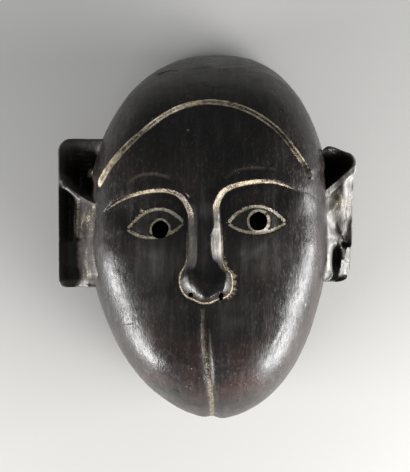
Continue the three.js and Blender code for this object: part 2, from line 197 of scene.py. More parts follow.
def spline(pairs):
    """A smooth curve through (x, value) pairs with rising x, as a function of x."""
    xs, values = np.array(pairs, float).T
    last = len(xs) - 1
    before = np.maximum(np.arange(last + 1) - 1, 0)
    after = np.minimum(np.arange(last + 1) + 1, last)
    slopes = (values[after] - values[before]) / (xs[after] - xs[before])

    def curve(x):
        at = clamp(x, xs[0], xs[-1])
        i = clamp(np.searchsorted(xs, at) - 1, 0, last - 1)
        h = xs[i + 1] - xs[i]
        return hermite(values[i], values[i + 1], h * slopes[i], h * slopes[i + 1], (at - xs[i]) / h)

    return curve


KEEL = spline(KEEL_POINTS)


def through(points, samples=90):
    """A smooth path through a few points."""
    points = np.array(points, float)
    last = len(points) - 1
    at = np.linspace(0, last, samples + 1)
    i = np.minimum(at.astype(int), last - 1)
    p0, p1 = points[np.maximum(i - 1, 0)], points[i]
    p2, p3 = points[i + 1], points[np.minimum(i + 2, last)]
    return hermite(p1, p2, (p2 - p0) / 2, (p3 - p1) / 2, (at - i)[:, None])


def circle(centre, half, turns=1.0, start=0.0, samples=40):
    """A path round an ellipse, or round part of it."""
    angle = np.linspace(start, start + 2 * math.pi * turns, samples + 1)
    return np.stack([centre[0] + half[0] * np.cos(angle), centre[1] + half[1] * np.sin(angle)], 1)


class CarvedLine:
    """near() gives a point's distance from the line, positive on its left, and how far along it is.

    Where side is -1, it is positive on the right instead. A fine cut's distance is cut down to whole
    millimetres, so the cut has a flat floor that reaches 1 mm to each side.
    """

    def __init__(self, path, side=1, fine=False):
        self.path = np.asarray(path, float)
        self.side = side
        self.reach = FINE_REACH if fine else FAR
        self.number = int if fine else float

    def near(self, x, y):
        off, along = np.full(x.shape, self.reach, self.number), np.zeros(x.shape)
        low, high = self.path.min(0) - self.reach, self.path.max(0) + self.reach
        close = np.flatnonzero((x > low[0]) & (x < high[0]) & (y > low[1]) & (y < high[1]))
        px, py = x[close], y[close]
        best, where = np.full(px.shape, self.reach, self.number), np.zeros(px.shape)
        for i, (a, b) in enumerate(zip(self.path[:-1], self.path[1:])):
            run = b - a
            t = clamp(((px - a[0]) * run[0] + (py - a[1]) * run[1]) / (run @ run), 0, 1)
            off_x, off_y = px - a[0] - t * run[0], py - a[1] - t * run[1]
            distance = np.hypot(off_x, off_y)
            nearer = distance < np.abs(best)
            signed = np.where(run[0] * off_y - run[1] * off_x < 0, -distance, distance)
            best[nearer] = signed[nearer]
            where[nearer] = (i + t[nearer]) / (len(self.path) - 1)
        off[close], along[close] = self.side * best, where
        return off, along


# The factors that make the number of a cell look drawn at random.
CELL_FACTORS = np.array([374761393, 668265263, 2147483647])
SEED_FACTOR = 974711
MIX_FACTOR = 1274126177


def hashed(cells, seed):
    """A number from -1 to 1 for each whole-numbered cell."""
    value = (cells * CELL_FACTORS[: cells.shape[1]]).sum(1) + seed * SEED_FACTOR
    value = (value ^ (value >> 13)) * MIX_FACTOR
    return ((value ^ (value >> 16)) & 0xFFFFFF) / float(0x7FFFFF) - 1


def noise(points, size, seed):
    """Smooth noise from -1 to 1, in cells of a size that may differ along each axis."""
    cell = points / np.asarray(size, float)
    low = np.floor(cell).astype(np.int64)
    part = cell - low
    part = part * part * (3 - 2 * part)
    total = np.zeros(len(points))
    for corner in product((0, 1), repeat=points.shape[1]):
        weight = np.prod(np.where(np.array(corner) == 1, part, 1 - part), axis=1)
        total += weight * hashed(low + np.array(corner), seed)
    return total


def flat_noise(x, y, size, seed):
    return noise(np.stack([x, y], 1), size, seed)


def facets(points, size, seed):
    """The flats that a knife leaves: in each cell of space, a tilted plane round its own middle."""
    axes = range(points.shape[1])
    cell = np.floor(points / size).astype(np.int64)
    best, height = np.full(len(points), np.inf), np.zeros(len(points))
    for corner in product((-1, 0, 1), repeat=len(axes)):
        here = cell + np.array(corner)
        middle = np.stack([hashed(here, seed + k) for k in axes], 1) * 0.4
        tilt = np.stack([hashed(here, seed + 10 + k) for k in axes], 1)
        from_middle = points / size - here - 0.5 - middle
        distance = (from_middle**2).sum(1)
        nearer = distance < best
        best[nearer] = distance[nearer]
        height[nearer] = (from_middle * tilt).sum(1)[nearer]
    return height


# The lines that the carver followed, each through a few points.
HAIRLINE = CarvedLine(through([
    (-68.5, 25.5), (-60.5, 38), (-44, 55.6), (-22, 72.6), (-1, 78.5), (20, 74.6), (40, 61.5),
    (55, 43), (63, 30),
]))
BROWS = [
    CarvedLine(through([
        (-66, 9), (-56, 16.4), (-40, 21.2), (-26, 21.8), (-17.6, 18), (-13, 10), (-12.4, 3),
    ]), side=-1),
    CarvedLine(through([
        (58, 21), (46, 26.4), (36, 28.2), (22, 26.6), (10.6, 22.4), (5.8, 14), (6, 7),
    ])),
]
NOSE_LINE = CarvedLine(through([
    (-12.8, 10), (-13.2, -7), (-13.6, -20), (-17, -27.5), (-17, -34), (-14, -39.5), (-9, -42),
    (-4.5, -43.8), (0.5, -43.8), (5.5, -41.6), (10.6, -40), (13.6, -35.5), (13.2, -27.5),
    (8.6, -21.4), (7.8, -7), (6.6, 13),
], 150))
CLEFT_LINE = CarvedLine(through([(-2, -44), (-2, -62), (-0.4, -82), (1.4, -102), (2.4, -122)]))

# How wide their slopes are, by the share of the way along them.
CAP_WIDTH = spline([
    (0, 0.7), (0.08, 1.5), (0.2, 2.2), (0.35, 1.9), (0.5, 1.7), (0.7, 2.3), (0.85, 1.5), (1, 0.9),
])
BROW_WIDTH = spline([(0, 0.6), (0.25, 1.2), (0.5, 2), (0.75, 3), (1, 3.6)])
NOSE_BEVEL = spline([
    (0, 6.2), (0.13, 6.4), (0.18, 5.5), (0.25, 6.5), (0.33, 6), (0.42, 4.2), (0.5, 3), (0.65, 3.6),
    (0.75, 5), (0.83, 3.2), (0.867, 3.4), (0.885, 6), (0.94, 6.6), (0.96, 4.4), (1, 3.6),
])


def lid_bow(share):
    return np.maximum(0, 1 - share**2) ** 0.85


def lid(eye, side, samples=40):
    """The path of an eye's upper or lower lid, from its left corner."""
    u = np.linspace(-1, 1, samples + 1)
    across = u * eye["half"]
    rise = eye["upper"] if side > 0 else -eye["lower"]
    return np.stack([eye["x"] + across, eye["y"] + eye["tilt"] * across + rise * lid_bow(u)], 1)


def scribed_lines():
    """The fine cuts: a line each, how softly it ends beyond its floor, its depth, how much pale residue
    it holds, or below 0 how dark its painted shade is, and how softly the residue ends."""
    left, right = EYES
    left_ring = circle(left["hole"], (5.5, 6), turns=0.62, start=-0.35)
    right_ring = circle((right["hole"][0] + 0.4, right["hole"][1]), (6.2, 6.3), start=0.8)
    lines = [
        (lid(left, 1), 0.6, 0.6, 1.5, 0.32),
        (lid(left, -1), 0.6, 0.5, 1.25, 0.3),
        (lid(right, 1), 0.6, 0.6, 1.5, 0.32),
        (lid(right, -1), 0.6, 0.5, 1.2, 0.34),
        (left_ring, 0.6, 0.3, 1.2, 0.3),
        (right_ring, 0.6, 0.2, 1.4, 0.34),
        (through([(-51, 26), (-43, 31.5), (-33, 32.6), (-24, 30)]), 0.6, 0.25, 0.22, 0.5),
        (through([(9, 30), (18, 35), (30, 36.5), (40, 35.5)]), 0.6, 0.25, 0.25, 0.5),
        (through([(58.6, 38), (60, 34.5), (61.6, 31.5)]), 0.4, 0.6, -0.9, 0.5),
        (through([(-3.4, -47), (-3.6, -60), (-3, -74)]), 0.8, 0.15, 0.4, 0.9),
        (through([(-0.6, -58), (0.6, -76), (2.2, -94)]), 0.6, 0.12, 0.3, 0.6),
        (through([(0.4, -90), (1.8, -104), (2.6, -119)]), 0.6, 0.2, 0.4, 0.6),
        (through([(-51.5, -57), (-46, -56), (-44, -52.5)]), 0.4, 0.12, -0.6, 0.4),
        (through([(-46, -60), (-43.5, -57)]), 0.4, 0.12, -0.6, 0.4),
        (through([(-34, 100), (-26, 102.5), (-21, 102)]), 0.5, 0.35, -0.3, 0.5),
    ]
    return [(CarvedLine(path, fine=True), *values) for path, *values in lines]


SCRIBED = scribed_lines()

# Small chips: a place, a radius, a depth and how pale its bottom is.
CHIPS = [
    ((-12.6, 60.5), 0.9, 0.7, 0.9), ((-41.4, 10.6), 1.3, 0.6, 0.9), ((-44.6, 6.6), 0.9, 0.6, 0.9),
    ((-34.5, 67), 0.8, 0.6, 0.6), ((-17.8, 78.5), 0.7, 0.5, 0.4), ((-13.4, -76), 0.5, 0.3, 0.6),
    ((-10.4, -83), 0.5, 0.3, 0.5), ((-5.6, -89), 0.5, 0.3, 0.5), ((-13.6, -95), 0.5, 0.3, 0.8),
    ((-11.5, -96.5), 0.4, 0.3, 0.8), ((-12.2, -93.4), 0.4, 0.3, 0.7),
]

# Places where the patina is thin: a middle, two half widths and how thin.
WORN_PATCHES = [
    ((20, -15), 5, 5.5, 0.26), ((-28, -18), 15, 14, 0.38), ((-2, 10), 4.5, 6, 0.3),
    ((29, -14), 16, 12, 0.26), ((-26, -52), 14, 14, 0.14), ((14, -52), 14, 14, 0.2),
    ((-2.4, -14), 5, 16, 0.16),
]

# Painted highlights on the nose's wings: a line, its half width and how bright it is.
NOSE_HIGHLIGHTS = [
    (CarvedLine(through([(-14.4, -30.4), (-13, -33.4)]), fine=True), 2, 0.9),
    (CarvedLine(through([(-12, -34.6), (-9.4, -36.4), (-4.8, -40.8)]), fine=True), 0.9, 0.95),
    (CarvedLine(through([(9.2, -24), (12.2, -30), (11.6, -36)]), fine=True), 1.3, 0.3),
]


def axis_share(value, roundness):
    return np.sign(value) * np.abs(value) ** (2 / roundness)


def outline(angle):
    up = np.sin(angle)
    roundness = np.where(up < 0, JAW_ROUNDNESS, CROWN_ROUNDNESS)
    height = np.where(up < 0, CHEEK_Y - CHIN_Y, CROWN_Y - CHEEK_Y)
    share = axis_share(up, roundness)
    return HALF_WIDTH * axis_share(np.cos(angle), roundness) + BOW * share**2, CHEEK_Y + height * share


def section_exponent(angle):
    up = np.sin(angle)
    crown = lerp(SIDE_EXPONENT, CROWN_EXPONENT, up**2)
    jaw = np.sin(math.pi * clamp(-up, 0, 1)) ** 2
    return np.where(up > 0, crown, lerp(lerp(SIDE_EXPONENT, CHIN_EXPONENT, up**2), JAW_EXPONENT, jaw))


def tuck(angle, z):
    """The chin rises behind its outline, so that the muzzle overhangs the rim."""
    return CHIN_TUCK * np.maximum(0, -np.sin(angle)) ** 3 * ramp(TUCK_TOP_Z - z, 0, TUCK_TOP_Z)


def dome_point(angle, rise, inset, sunk):
    """A point of a dome inside the outline by inset and under the keel by sunk, from the rim to the pole."""
    exponent = 2 / section_exponent(angle)
    reach = np.maximum(np.cos(rise * math.pi / 2), 0) ** exponent
    share = np.maximum(np.sin(rise * math.pi / 2), 0) ** exponent
    out_x, out_y = outline(angle)
    kept = 1 - inset / np.hypot(out_x, out_y - POLE_Y)
    x = out_x * reach * kept
    y = POLE_Y + (out_y - POLE_Y) * reach * kept
    z = lerp(RIM_EDGE, KEEL(y) - sunk, share)
    return np.stack([x, y + tuck(angle, z) * reach, z], -1)


def rim_point(angle, across):
    """A point of the flat rim and its two rounded edges."""
    turn = clamp(np.minimum(across, 1 - across) / RIM_EDGE_SHARE, 0, 1) * math.pi / 2
    flat = clamp((across - RIM_EDGE_SHARE) / (1 - 2 * RIM_EDGE_SHARE), 0, 1)
    into = RIM_EDGE * (1 - np.sin(turn))
    inset = lerp(RIM_EDGE, WALL - RIM_EDGE, flat)
    inset = np.where(across < RIM_EDGE_SHARE, RIM_EDGE - into, inset)
    inset = np.where(across > 1 - RIM_EDGE_SHARE, WALL - RIM_EDGE + into, inset)
    point = dome_point(angle, np.zeros_like(angle), inset, 0)
    point[..., 2] = into
    return point


def shell_point(corners):
    """The point of the plain shell for each (around, sweep) corner."""
    around, sweep = corners.T
    outside = dome_point(around, 1 - clamp(sweep / OUTSIDE_END, 0, 1), 0, 0)
    hollow = dome_point(around, clamp((sweep - RIM_END) / (1 - RIM_END), 0, 1), WALL, FRONT_THICKNESS)
    rim = rim_point(around, clamp((sweep - OUTSIDE_END) / (RIM_END - OUTSIDE_END), 0, 1))
    point = np.where((sweep <= OUTSIDE_END)[:, None], outside, rim)
    return np.where((sweep >= RIM_END)[:, None], hollow, point)


def inside_eye(eye, x, y):
    """The distance from an eye's almond, positive inside."""
    u = (x - eye["x"]) / eye["half"]
    middle = eye["y"] + eye["tilt"] * (x - eye["x"])
    bow = lid_bow(u)
    slant = np.sqrt(1 + (eye["upper"] / eye["half"]) ** 2 * 4 * u**2)
    inside = np.minimum(middle + eye["upper"] * bow - y, y - middle + eye["lower"] * bow) / slant
    beyond = -np.hypot((np.abs(u) - 1) * eye["half"], y - eye["y"])
    return np.where(np.abs(u) >= 1, beyond, inside)


def cap_step(x, y):
    off, along = HAIRLINE.near(x, y)
    width = CAP_WIDTH(along)
    raised = clamp(off / width + 0.5, 0, 1)
    rounded = lerp(raised, ramp(raised, 0, 1), CAP_ROUNDING)
    foot = -CAP_FOOT_DEPTH * gauss(off + width / 2, CAP_FOOT_HALF)
    return (CAP_STEP * rounded * gauss(np.maximum(0, off), CAP_FADE) + foot) * ends(along, CAP_END_SHARE)


def brow_step(brow, x, y):
    """The sunk socket under a brow and the shallow channel above it."""
    below, along = brow.near(x, y)
    slope = clamp(below / BROW_WIDTH(along) + 1, 0, 1)
    sunk = lerp(slope, ramp(slope, 0, 1), BROW_ROUNDING)
    sunk *= 1 - ramp(below, SOCKET_FLAT, SOCKET_HEIGHT)
    channel = gauss(below + CHANNEL_ABOVE_BROW, CHANNEL_HALF_WIDTH)
    kept = 1 - BROW_NOSE_LOSS * ramp(along, BROW_NOSE_SHARE, 1)
    return (-BROW_STEP * sunk * ramp(along, 0, BROW_START_SHARE) * kept
            - CHANNEL_DEPTH * channel * ends(along, CHANNEL_END_SHARE))


def nose_height(x, y):
    down = clamp((NOSE_ROOT_Y - y) / (NOSE_ROOT_Y - NOSE_TIP_Y), 0, 1)
    off, along = NOSE_LINE.near(x, y)
    slope = clamp(off / NOSE_BEVEL(along), 0, 1)
    at_tip = within(along, *NOSE_TIP_SPAN, NOSE_SPAN_SOFT)
    rounding = lerp(NOSE_BRIDGE_ROUNDING, NOSE_TIP_ROUNDING, at_tip)
    slope = lerp(slope, np.sin(slope * math.pi / 2), rounding)
    rising = ramp(NOSE_ROOT_Y - y, *NOSE_ROOT_FADE)
    bumps = sum(rise * gauss(away(x, y, place, 1, longer), half) for place, rise, half, longer in NOSE_BUMPS)
    return lerp(NOSE_ROOT_HEIGHT, NOSE_TIP_HEIGHT, down) * rising * slope + bumps * clamp(off, 0, 1)


def eye_relief(x, y):
    relief = np.zeros_like(x)
    for eye in EYES:
        bulge = 1 - np.minimum(1, away(x, y, (eye["x"], eye["y"])) / eye["half"]) ** 2
        relief += ramp(inside_eye(eye, x, y), 0, EYE_EDGE) * (EYE_BULGE * bulge - EYE_SET)
    return relief


def cleft(x, y):
    off, along = CLEFT_LINE.near(x, y)
    half = lerp(CLEFT_TOP_HALF_WIDTH, CLEFT_BOTTOM_HALF_WIDTH, along)
    return -CLEFT_DEPTH * np.exp(-2 * (off / half) ** 2) * ramp(along, 0, CLEFT_START_SHARE)


def scribes(x, y):
    """How deep the fine cuts and chips go."""
    depth = np.zeros_like(x)
    for line, soft, cut, _, _ in SCRIBED:
        off, along = line.near(x, y)
        depth = np.maximum(depth, cut * gauss(off, soft) * lerp(0.4, 1, ends(along, 0.15)))
    for place, radius, cut, _ in CHIPS:
        depth = np.maximum(depth, cut * gauss(away(x, y, place), radius))
    return depth


def carving(x, y):
    """How far the carved face stands out from the plain dome."""
    relief = cap_step(x, y)
    for brow in BROWS:
        relief += brow_step(brow, x, y)
    return relief + nose_height(x, y) + eye_relief(x, y) + cleft(x, y) - scribes(x, y)


def nearest_cut(x, y):
    """How near a place is to a carved edge or a fine cut."""
    off, along = HAIRLINE.near(x, y)
    found = [np.abs(np.abs(off) - CAP_WIDTH(along) / 2)]
    for brow in BROWS:
        below, along = brow.near(x, y)
        found += [np.abs(below), np.abs(below + BROW_WIDTH(along))]
    off, along = NOSE_LINE.near(x, y)
    found += [np.abs(off), np.abs(off - NOSE_BEVEL(along))]
    found += [np.abs(line.near(x, y)[0]) for line, *_ in SCRIBED]
    found += [away(x, y, place) for place, *_ in CHIPS]
    return np.minimum.reduce(found)


def longest_edge(points, sweep):
    fine = clamp(2 * (nearest_cut(points[:, 0], points[:, 1]) - FINE_BAND), FINE_EDGE, PLAIN_EDGE)
    fine = np.where(points[:, 2] < CARVED_FROM_Z, PLAIN_EDGE, fine)
    return np.where(sweep > RIM_END, HOLLOW_EDGE, fine)


def middle_corners(one, other):
    """The corners halfway between two sets, the short way round; a pole takes the other one's angle."""
    start = np.where(one[:, 1] % 1 == 0, other[:, 0], one[:, 0])
    end = np.where(other[:, 1] % 1 == 0, one[:, 0], other[:, 0])
    turn = (end - start + math.pi) % (2 * math.pi) - math.pi
    return np.stack([start + turn / 2, (one[:, 1] + other[:, 1]) / 2], 1)


def sphere_corners():
    """A coarse closed mesh over all angles and sweeps, with one corner at each pole."""
    rows, columns = np.mgrid[1:SHELL_ROWS, 0:SHELL_COLUMNS]
    ring_corners = np.stack([2 * math.pi * columns / SHELL_COLUMNS, rows / SHELL_ROWS], -1).reshape(-1, 2)
    corners = np.concatenate([[(0, 0)], ring_corners, [(0, 1)]])
    here = 1 + np.arange(len(ring_corners)).reshape(rows.shape)
    beside = np.roll(here, -1, 1)
    start, last = (np.full(SHELL_COLUMNS, pole) for pole in (0, len(corners) - 1))
    triangles = [
        (start, here[0], beside[0]),
        (here[:-1], here[1:], beside[1:]),
        (here[:-1], beside[1:], beside[:-1]),
        (here[-1], last, beside[-1]),
    ]
    return corners, np.concatenate([np.stack(triangle, -1).reshape(-1, 3) for triangle in triangles])


def split_triangles(triangles, middles):
    """Replaces each triangle whose edges have new middles; -1 stands where an edge has none."""
    cut = middles >= 0
    count = cut.sum(1)
    first = np.argmax(cut, 1)
    uncut = np.argmin(cut, 1)
    by = np.where(count == 1, first, np.where(count == 2, (uncut + 1) % 3, 0))
    turned = (np.arange(3) + by[:, None]) % 3
    (a, b, c), (ab, bc, ca) = (np.take_along_axis(part, turned, 1).T for part in (triangles, middles))

    def faces(chosen, *corners):
        return [np.stack([corner[chosen] for corner in face], 1) for face in corners]

    made = [triangles[count == 0]]
    made += faces(count == 1, (a, ab, c), (ab, b, c))
    made += faces(count == 2, (ab, b, bc), (a, ab, bc), (a, bc, c))
    made += faces(count == 3, (a, ab, ca), (ab, b, bc), (ca, bc, c), (ab, bc, ca))
    return np.concatenate(made)


def refined_shell():
    """The plain shell, its edges split where they are longer than their place allows."""
    corners, triangles = sphere_corners()
    points = shell_point(corners)
    for _ in range(REFINE_PASSES):
        edges = np.sort(np.concatenate([triangles[:, [k, (k + 1) % 3]] for k in range(3)]), 1)
        keys, inverse = np.unique(edges[:, 0] * EDGE_KEY_BASE + edges[:, 1], return_inverse=True)
        low, high = keys // EDGE_KEY_BASE, keys % EDGE_KEY_BASE
        length = np.linalg.norm(points[low] - points[high], axis=1)
        middles = np.full(len(keys), -1)
        maybe = np.flatnonzero(length > FINE_EDGE)
        between = middle_corners(corners[low[maybe]], corners[high[maybe]])
        middle = shell_point(between)
        long = length[maybe] > longest_edge(middle, between[:, 1])
        middles[maybe[long]] = len(corners) + np.arange(long.sum())
        corners = np.concatenate([corners, between[long]])
        points = np.concatenate([points, middle[long]])
        triangles = split_triangles(triangles, middles[inverse].reshape(3, -1).T)
    return points, corners[:, 1], triangles


def vertex_normals(points, triangles):
    a, b, c = (points[triangles[:, k]] for k in range(3))
    face = np.cross(b - a, c - a)
    normals = np.zeros_like(points)
    for k in range(3):
        np.add.at(normals, triangles[:, k], face)
    return normals / (np.linalg.norm(normals, axis=1, keepdims=True) + 1e-12)


# The marks of the tools: the heights of the knife's flats, and the gouge's cuts down the hollow.
BROAD_FLATS = 0.22
SMALL_FLATS = 0.1
CROWN_FLATS = 0.35
WAVES = 0.12
GOUGE_DEPTH = 0.7
GOUGES_PER_RADIAN = 9
GOUGE_WANDER = 0.9
GOUGE_FLATS = 0.35
GOUGED_FROM_RIM = 8


def knife_marks(points):
    """The low flats and waves that are left all over the outside."""
    on_crown = ramp(points[:, 1], 50, 80) * ramp(-points[:, 2], -78, -45)
    broad = BROAD_FLATS * facets(points, size=17.0, seed=3)
    small = SMALL_FLATS * facets(points, size=8.0, seed=5)
    waves = WAVES * noise(points, size=30, seed=7)
    return broad + small + waves + CROWN_FLATS * facets(points, size=27.0, seed=9) * on_crown


def gouge_marks(points):
    """Long shallow gouge cuts down the hollow, which was never smoothed."""
    angle = np.arctan2(points[:, 0], points[:, 1] - POLE_Y)
    strip = angle * GOUGES_PER_RADIAN + noise(points, size=24, seed=11) * GOUGE_WANDER
    scallop = np.abs(np.sin(strip * math.pi)) ** 0.7
    return GOUGE_DEPTH * scallop + GOUGE_FLATS * facets(points, size=11.0, seed=13)


# What is painted on each point of the surface, as numbers that the wood's material reads. line_off is
# the distance from the nearest pale line in its own half widths, so the line stays sharp between points.
# The wear paint holds both worn patina and painted highlights, and the shade paint is painted shade.
PAINT = ("line_off", "line_tan", "residue", "wear", "shade", "warm", "rough_cut")
NO_LINE = 6
NO_RESIDUE = -1
LINE_FADE = (1.9, 3)

# The pale lines along the carved edges. The hairline has one on each side of its middle, at a share of its
# width, and the nose's lies just outside its crease.
HAIR_EDGE_AT = 0.34
HAIR_EDGE_HALF = 0.38
BROW_EDGE_HALF = 0.45
NOSE_EDGE_HALF = 0.5
NOSE_EDGE_OUT = 0.2

# The fringe of residue that spills over the nose's right wing.
FRINGE_OUT = 1.2
FRINGE_HALF = 2.6
FRINGE_SPIKES = 0.32
FRINGE_TURNS = 240

FRONT_Z = (20, 40)  # where the painted front fades in on the sides


def painted(**columns):
    """The paint of all points, a column each in the order of PAINT; one number may stand for all."""
    return np.stack(np.broadcast_arrays(*(columns[name] for name in PAINT)), 1)


def pale_lines(x, y):
    """The nearest pale line's distance, in its own half widths, and how much residue it holds."""
    patchy = 0.3 * flat_noise(x, y, size=9, seed=31)
    uneven = flat_noise(x, y, size=3.5, seed=67)
    off, along = HAIRLINE.near(x, y)
    edge = (np.abs(off) - CAP_WIDTH(along) * HAIR_EDGE_AT) / HAIR_EDGE_HALF
    found = [(edge, along, (0.75 + patchy + 0.35 * uneven) * ends(along, 0.02))]
    for brow in BROWS:
        below, along = brow.near(x, y)
        held = (0.9 + patchy + 0.2 * uneven) * hump(along, (0.04, 0.16), (0.86, 0.97))
        found.append((below / BROW_EDGE_HALF, along, held))
    off, along = NOSE_LINE.near(x, y)
    strong = lerp(0.6, 0.95, within(along, 0.15, 0.86, NOSE_SPAN_SOFT)) + patchy / 1.5
    held = strong * hump(along, (0, 0.1), (0.93, 0.99))
    found.append(((off + NOSE_EDGE_OUT) / NOSE_EDGE_HALF, along, held))
    for line, _, _, tan, tan_soft in SCRIBED:
        if tan > 0:
            off, along = line.near(x, y)
            found.append((off / tan_soft, along, tan * (0.95 + patchy) * ends(along, 0.02)))
    best, best_held = np.full(len(x), float(NO_LINE)), np.zeros(len(x))
    for off, along, held in found:
        nearer = (np.abs(off) < np.abs(best)) & (along > 0) & (along < 1)
        best[nearer], best_held[nearer] = off[nearer], held[nearer]
    return best, best_held * (1 - ramp(np.abs(best), *LINE_FADE))


def by_left_ear(x, y, full_x):
    """1 on the strip of the cheek beside the left ear, from full_x outwards."""
    return ramp(-x, 66, full_x) * within(y, -38, 22, 5)


def loose_residue(x, y):
    """Pale residue in the bands, beside the lines and in the chips."""
    patchy = flat_noise(x, y, size=7, seed=53)
    off, along = HAIRLINE.near(x, y)
    half = CAP_WIDTH(along) * HAIR_EDGE_AT
    filled = 0.5 - 0.25 * ramp(along, 0.45, 0.6) + 0.3 * patchy
    found = [filled * within(off, -half, half, 0.3) * ends(along, 0.03)]
    for brow in BROWS:
        below, along = brow.near(x, y)
        band = within(below, -BROW_WIDTH(along), 0.3, 0.35)
        found.append((0.6 + 0.25 * patchy) * band * hump(along, (0.1, 0.3), (0.84, 0.99)))
    off, along = NOSE_LINE.near(x, y)
    spikes = FRINGE_SPIKES * np.sin(along * FRINGE_TURNS + 2 * patchy)
    fringe = 0.75 + spikes - np.abs(off + FRINGE_OUT) / FRINGE_HALF
    found.append(fringe * hump(along, (0.62, 0.7), (0.86, 0.92)))
    off, along = CLEFT_LINE.near(x, y)
    found.append((0.5 * gauss(off + 0.6, 2.6) - 0.12) * ramp(along, 0.02, 0.3))
    for place, radius, _, tan in CHIPS:
        found.append((1.2 - away(x, y, place) / (radius * 1.1)) * tan)
    stripes = flat_noise(x, y, size=(1.1, 9), seed=37)
    found.append((0.08 + 0.32 * stripes) * by_left_ear(x, y, 72))
    return np.maximum.reduce(found)


def thin_patina_and_highlights(x, y):
    """Where the patina is thin or worn through, and the painted highlights on the nose's bevels and wings.
    """
    off, along = NOSE_LINE.near(x, y)
    # A painted highlight on the nose's bevels, much stronger on the right bevel above the tip.
    bevel = within(off, 0.5, NOSE_BEVEL(along), 0.6) * lerp(0.6, 2.8, ramp(along, 0.86, 0.9))
    found = [0.4 * bevel * ramp(y, -29, -22) * ramp(-y, -18, -9)]
    mottled = 0.17 + 0.1 * flat_noise(x, y, size=(3, 1.6), seed=59)
    found += [mottled * within(inside_eye(eye, x, y), 0.2, 20, 0.5) for eye in EYES]
    uneven = 1 + 0.5 * flat_noise(x, y, size=(4, 5), seed=71)
    for place, half_x, half_y, amount in WORN_PATCHES:
        found.append(amount * uneven * gauss(away(x, y, place, half_x, half_y), 1))
    # The painted highlights on the nose's wings.
    for line, half, amount in NOSE_HIGHLIGHTS:
        off, along = line.near(x, y)
        found.append(amount * gauss(off, half) * (along > 0))
    for brow in BROWS:
        below, along = brow.near(x, y)
        band = within(below, -BROW_WIDTH(along), 0, 0.4)
        found.append(0.4 * band * ramp(along, 0.6, 0.85))
    found.append(0.08 * by_left_ear(x, y, 75))
    return np.maximum.reduce(found)


def painted_shade(x, y):
    """Painted shade: under the brows, and in the fine cuts that hold no residue."""
    found = []
    for brow in BROWS:
        below, along = brow.near(x, y)
        found.append(0.7 * within(below, 0.6, 4.5, 1.2) * ramp(along, 0.15, 0.5))
    for line, soft, _, tan, _ in SCRIBED:
        if tan < 0:
            found.append(-tan * gauss(line.near(x, y)[0], soft))
    return np.maximum.reduce(found)


def shell_paint(points, sweep):
    x, y = points[:, 0], points[:, 1]
    front = ramp(points[:, 2], *FRONT_Z) * (sweep < OUTSIDE_END)
    line_off, line_tan = pale_lines(x, y)
    return painted(
        line_off=line_off,
        line_tan=line_tan * front,
        residue=np.where(front > 0, loose_residue(x, y) * front, NO_RESIDUE),
        wear=thin_patina_and_highlights(x, y) * front,
        shade=painted_shade(x, y) * front,
        warm=0.25 + 0.75 * ramp(-y, 45, 80) * within(x, -45, 50, 15),
        rough_cut=ramp(sweep, OUTSIDE_END, OUTSIDE_END + 0.02),
    )


def carved_shell():
    points, sweep, triangles = refined_shell()
    normals = vertex_normals(points, triangles)
    paint = shell_paint(points, sweep)
    outside = sweep < OUTSIDE_END
    high = ramp(points[:, 2], CARVED_FROM_Z, CARVED_FULL_Z)
    x, y = points[outside, 0], points[outside, 1]
    move = np.zeros(len(points))
    move[outside] = (carving(x, y) + knife_marks(points[outside])) * high[outside]
    hollow = sweep > RIM_END
    deep = ramp(points[:, 2], RIM_EDGE, RIM_EDGE + GOUGED_FROM_RIM)
    move[hollow] = -(gouge_marks(points[hollow]) * deep[hollow])
    return points + normals * move[:, None], triangles, paint


# The ears. A place on an ear's front is told by how far it is in from the outer edge, and its y.
EAR_WIDTH = 27
EAR_ROOT = 5
EAR_PEAK_AT = 13
EAR_PEAK_OUTER_HALF = 9
EAR_PEAK_INNER_HALF = 6
EAR_BACK_Z = 14
EAR_FRONT_Z = 50
EAR_EDGE = 1.3  # the radius of its worn edges
RIDGE_AT = 0.6
EAR_COLUMNS = 44
EAR_ROWS = 132
EAR_RINGS = 14
EAR_WARM = 0.3
EAR_FLATS = 0.55
EAR_SIDE_FLATS = 0.18
EAR_LEAST_DEPTH = 6

# How deep the ears' scoops are cut, and where their knobs and bulges stand.
LEFT_SCOOP_DEPTH = 21
LEFT_POCKET_DEPTH = 10.5
LEFT_BUTTRESS_DEPTH = 4.5
LEFT_KNOB = (3, 31)
LEFT_KNOB_HEIGHT = 1.4
LEFT_LUMP = (21.5, 36.5)
LEFT_LUMP_HEIGHT = 15
LEFT_HOOK = (14, -3)
LEFT_HOOK_RADIUS = 3.5
LEFT_HOOK_DEPTH = 1.4
RIGHT_SCOOP_DEPTH = 27
RIGHT_POCKET_DEPTH = 8
RIGHT_NOTCH_DEPTH = 4
RIGHT_CREASE_DEPTH = 1.2
RIGHT_FACET_DEPTH = 5
RIGHT_BULGE = ((12.8, 16.5), 6.2, 8.5)  # its middle and two half widths
RIGHT_BULGE_HEIGHT = 1.3


def side_reach(side, y, z):
    """How far out the plain shell reaches at a place on its side."""
    upper = y > CHEEK_Y
    roundness = np.where(upper, CROWN_ROUNDNESS, JAW_ROUNDNESS)
    share = (y - CHEEK_Y) / (np.where(upper, CROWN_Y, CHIN_Y) - CHEEK_Y)
    half = HALF_WIDTH * (1 - share**roundness) ** (1 / roundness) + side * BOW * share**2
    return half * (1 - clamp(z / KEEL(y), 0, 1) ** SIDE_EXPONENT) ** (1 / SIDE_EXPONENT)


def ridge_line(ear, inward):
    return ear["ridge_y"] + ear["ridge_rise"] * (EAR_PEAK_AT - inward)


def ear_top(ear, inward):
    half = np.where(inward > EAR_PEAK_AT, EAR_PEAK_INNER_HALF, EAR_PEAK_OUTER_HALF)
    return ear["top_y"] + ear["peak"] * gauss(inward - EAR_PEAK_AT, half)


def corner_inset(radius, distance):
    return radius - np.sqrt(radius**2 - clamp(radius - distance, 0, radius) ** 2)


def bowl(inward, width):
    """A hollow's round section across the front, from just inside the outer edge."""
    return np.sin(math.pi * clamp((inward - 0.3) / width, 0, 1))


